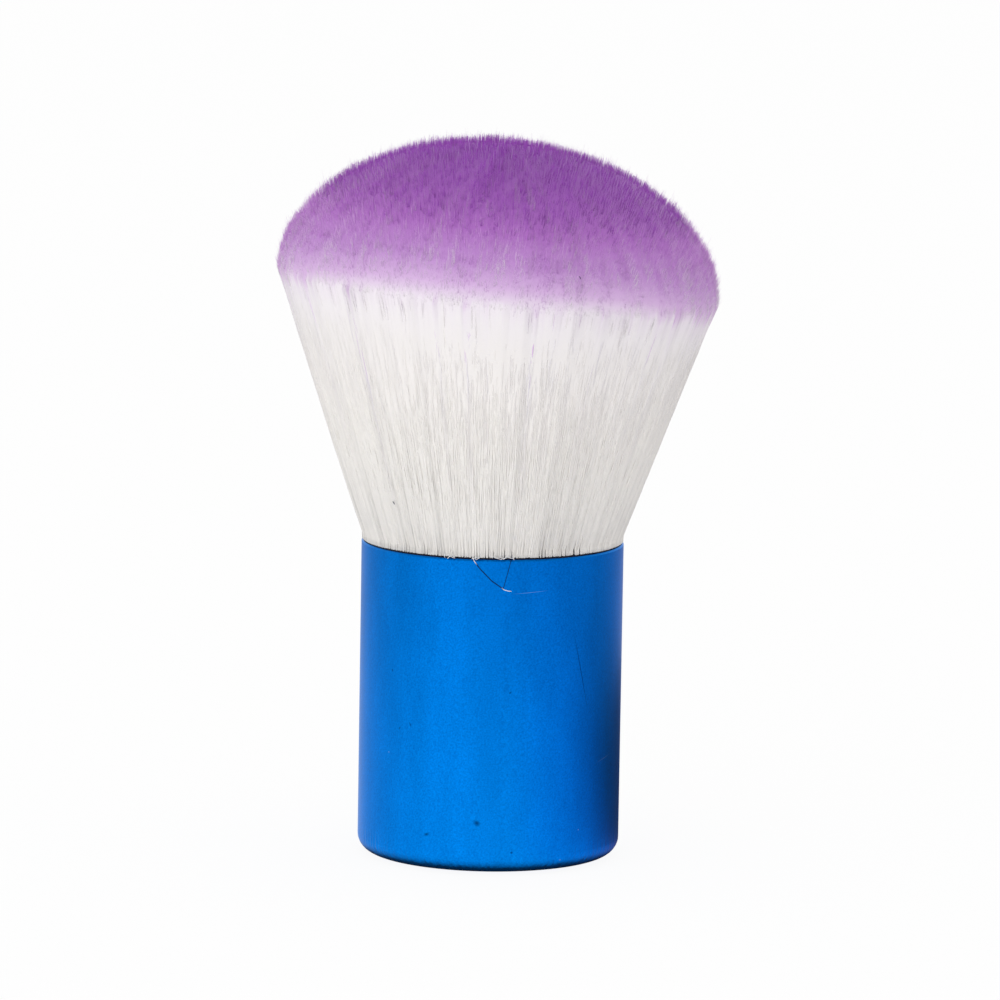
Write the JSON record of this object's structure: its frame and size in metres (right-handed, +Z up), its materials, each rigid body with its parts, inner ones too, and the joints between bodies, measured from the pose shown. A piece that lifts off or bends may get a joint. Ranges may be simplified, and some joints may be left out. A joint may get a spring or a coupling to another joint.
{
  "type": "kabuki makeup brush",
  "caption": "Short round kabuki powder brush: a flared, domed tuft of pale fibres with dyed tips, set in a plain drawn metal cup handle that it stands on.",
  "frame": {"origin": "centre of the handle's flat underside, where the brush stands", "axes": "+Z up the handle's axis towards the tuft, +X to the right in the picture, +Y away from the viewer"},
  "size_m": [0.0419, 0.042, 0.0686],
  "materials": {
    "blue_metal": "blue anodised, satin with fine sparkle",
    "core_plastic": "moulded, natural",
    "cup_plastic": "moulded, black",
    "resin": "set resin, amber",
    "thread": "twisted thread",
    "fibres": "fine synthetic fibres, white with purple tips"
  },
  "bodies": {
    "root": {"handle_shell": "blue_metal", "core_plug": "core_plastic", "tuft_cup": "cup_plastic", "root_resin": "resin", "binding_thread": "thread", "bristle_tuft": "fibres"}
  },
  "joints": []
}
